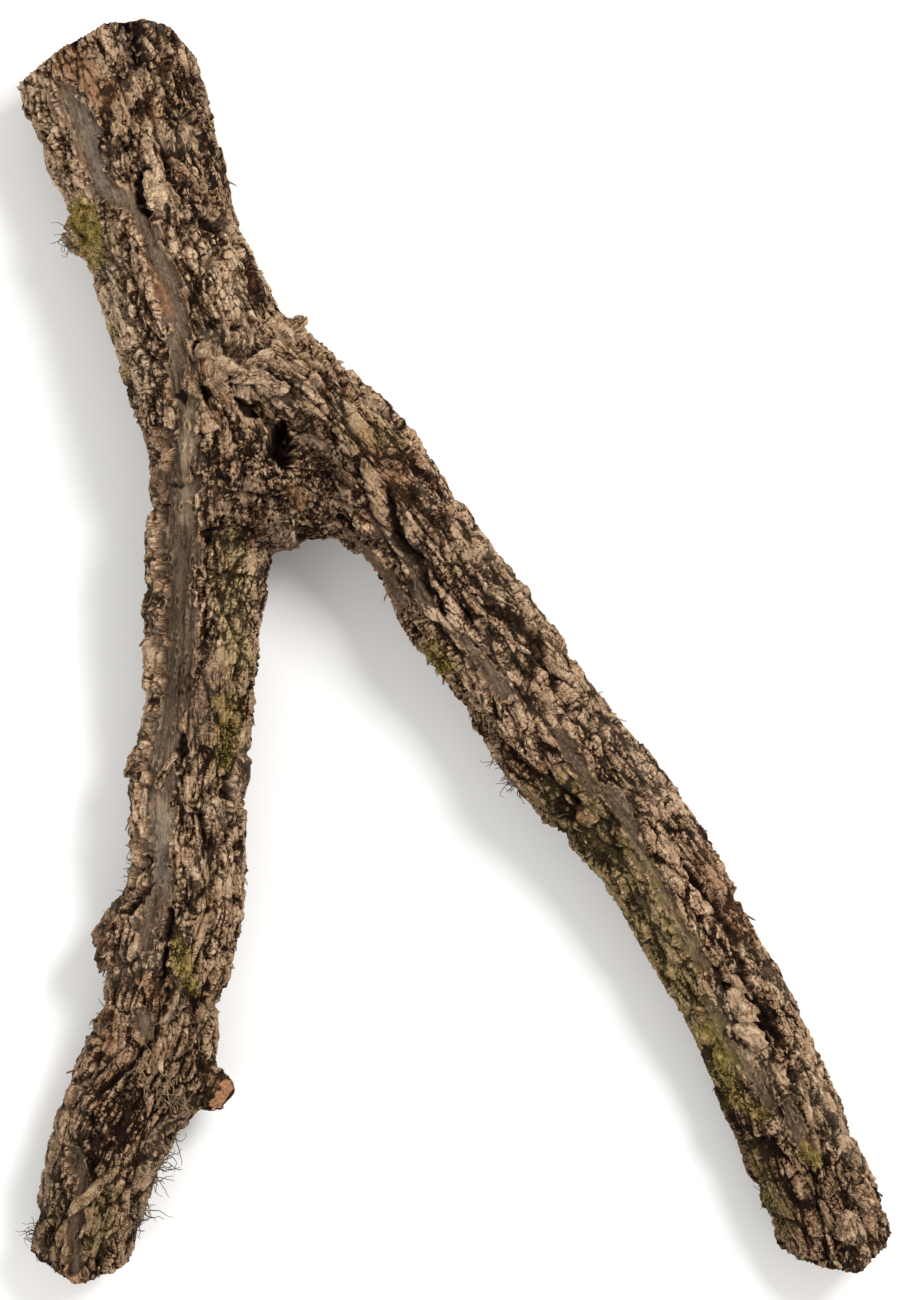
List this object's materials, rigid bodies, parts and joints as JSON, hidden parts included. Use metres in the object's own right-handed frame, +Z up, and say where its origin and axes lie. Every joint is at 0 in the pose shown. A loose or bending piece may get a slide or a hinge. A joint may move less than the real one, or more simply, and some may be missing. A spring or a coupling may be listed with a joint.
{
  "type": "cork bark branch",
  "caption": "Forked natural cork oak branch with deeply ridged cork bark, sawn at its ends, lying flat; for terrariums, aviaries, displays and floral decor.",
  "frame": {"origin": "bottom centre of the bounding box, on the surface the branch lies on", "axes": "+Z up; +Y along the branch's length, from the two legs' feet towards the sawn trunk end; +X to the right in a view from above, towards the long right leg's foot"},
  "size_m": [0.625, 0.898, 0.1299],
  "materials": {
    "cork_bark": "rough dry cork bark, matte, grey-brown with dark furrows"
  },
  "bodies": {
    "root": {"branch": "cork_bark"}
  },
  "joints": []
}
